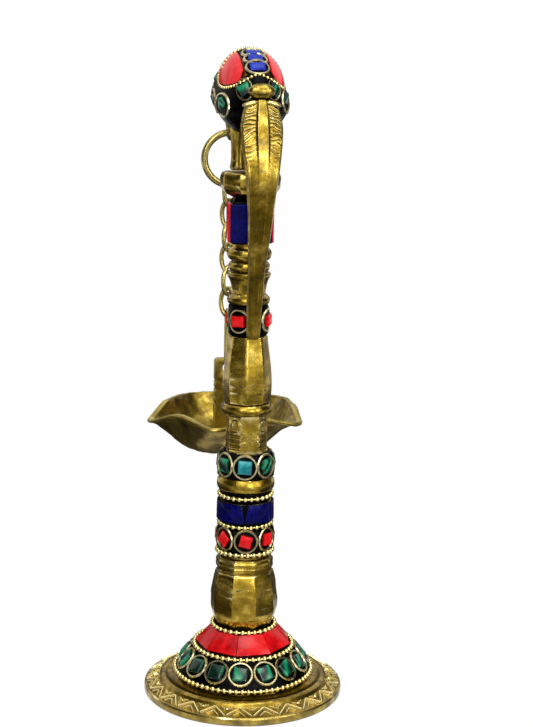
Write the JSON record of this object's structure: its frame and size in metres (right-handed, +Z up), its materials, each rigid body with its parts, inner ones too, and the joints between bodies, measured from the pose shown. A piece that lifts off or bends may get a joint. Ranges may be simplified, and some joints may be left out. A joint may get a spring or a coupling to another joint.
{
  "type": "oil lamp with stand",
  "caption": "Brass peacock lamp stand with a domed inlaid foot and a banded column; a ring, a chain and a long loop hang from the beak and carry a spouted oil bowl.",
  "frame": {"origin": "on the column's axis, at the flat underside of the base", "axes": "+Z up along the column, -Y towards the bird's head and the hanging bowl, +Y towards its tail"},
  "size_m": [0.0826, 0.1251, 0.2668],
  "materials": {
    "cast_brass": "cast brass, hand polished, darker in the recesses",
    "bead_wire": "pale beaded brass wire",
    "drawn_wire": "drawn brass wire, bent and closed",
    "red_inlay": "red inlay in lac, ground and polished",
    "blue_inlay": "dark blue inlay in lac, ground and polished",
    "green_inlay": "green inlay in lac, ground and polished",
    "black_lac": "black lac filling, low gloss"
  },
  "bodies": {
    "stand": {"base_casting": "cast_brass", "tie_rod": "cast_brass", "dome_bead_wire_lower": "bead_wire", "dome_bead_wire_middle": "bead_wire", "dome_bead_wire_upper": "bead_wire", "dome_stone_band": "green_inlay", "dome_red_plate_1": "red_inlay", "dome_red_plate_2": "red_inlay", "dome_red_plate_3": "red_inlay", "dome_red_plate_4": "red_inlay", "dome_red_plate_5": "red_inlay", "dome_red_plate_6": "red_inlay", "dome_red_plate_7": "red_inlay", "dome_red_plate_8": "red_inlay", "dome_red_plate_9": "red_inlay", "dome_red_plate_10": "red_inlay", "dome_red_plate_11": "red_inlay", "lower_bulb": "cast_brass", "middle_casting": "cast_brass", "column_bead_wire_lower": "bead_wire", "column_bead_wire_middle": "bead_wire", "column_bead_wire_upper": "bead_wire", "red_stone_band": "red_inlay", "blue_plate_1": "blue_inlay", "blue_plate_2": "blue_inlay", "blue_plate_3": "blue_inlay", "blue_plate_4": "blue_inlay", "blue_plate_5": "blue_inlay", "blue_plate_6": "blue_inlay", "green_stone_band": "green_inlay", "octagon_shaft": "cast_brass", "upper_bulb": "cast_brass", "upper_stone_band": "red_inlay", "cup_casting": "cast_brass", "neck_slab_right": "red_inlay", "neck_slab_front": "blue_inlay", "neck_slab_left": "red_inlay", "neck_slab_back": "blue_inlay", "perch_cup": "cast_brass", "peacock_casting": "cast_brass", "flank_panel_right": "red_inlay", "flank_panel_left": "red_inlay", "back_stone_strip": "blue_inlay", "body_lac_bed": "black_lac", "saddle_bead_wire": "bead_wire", "tail": "cast_brass"},
    "ring": {"hanging_ring": "drawn_wire"},
    "link_1": {"chain_link_1": "drawn_wire"},
    "link_2": {"chain_link_2": "drawn_wire"},
    "link_3": {"chain_link_3": "drawn_wire"},
    "link_4": {"chain_link_4": "drawn_wire"},
    "link_5": {"chain_link_5": "drawn_wire"},
    "link_6": {"chain_link_6": "drawn_wire"},
    "hook": {"hook_loop": "drawn_wire"},
    "lamp": {"oil_bowl": "cast_brass"}
  },
  "joints": [
    {"name": "ring_swing", "type": "hinge", "parent": "stand", "child": "ring", "pos_m": [0, -0.0505, 0.2291], "axis": [-1, 0, 0], "range_deg": [-2, 60]},
    {"name": "link_1_swing", "type": "hinge", "parent": "ring", "child": "link_1", "pos_m": [0, -0.0505, 0.2069], "axis": [0, 1, 0], "range_deg": [-8, 8]},
    {"name": "link_2_swing", "type": "hinge", "parent": "link_1", "child": "link_2", "pos_m": [0, -0.0505, 0.19785], "axis": [0, 1, 0], "range_deg": [-25, 25]},
    {"name": "link_3_swing", "type": "hinge", "parent": "link_2", "child": "link_3", "pos_m": [0, -0.0505, 0.1883], "axis": [0, 1, 0], "range_deg": [-25, 25]},
    {"name": "link_4_swing", "type": "hinge", "parent": "link_3", "child": "link_4", "pos_m": [0, -0.0505, 0.17875], "axis": [0, 1, 0], "range_deg": [-25, 25]},
    {"name": "link_5_swing", "type": "hinge", "parent": "link_4", "child": "link_5", "pos_m": [0, -0.0505, 0.1692], "axis": [0, 1, 0], "range_deg": [-25, 25]},
    {"name": "link_6_swing", "type": "hinge", "parent": "link_5", "child": "link_6", "pos_m": [0, -0.0505, 0.15965], "axis": [0, 1, 0], "range_deg": [-25, 25]},
    {"name": "hook_swing", "type": "hinge", "parent": "link_6", "child": "hook", "pos_m": [0, -0.0505, 0.1501], "axis": [-1, 0, 0], "range_deg": [-3, 25]},
    {"name": "lamp_swing", "type": "hinge", "parent": "hook", "child": "lamp", "pos_m": [0, -0.0505, 0.1282], "axis": [0, 1, 0], "range_deg": [-45, 45]}
  ]
}
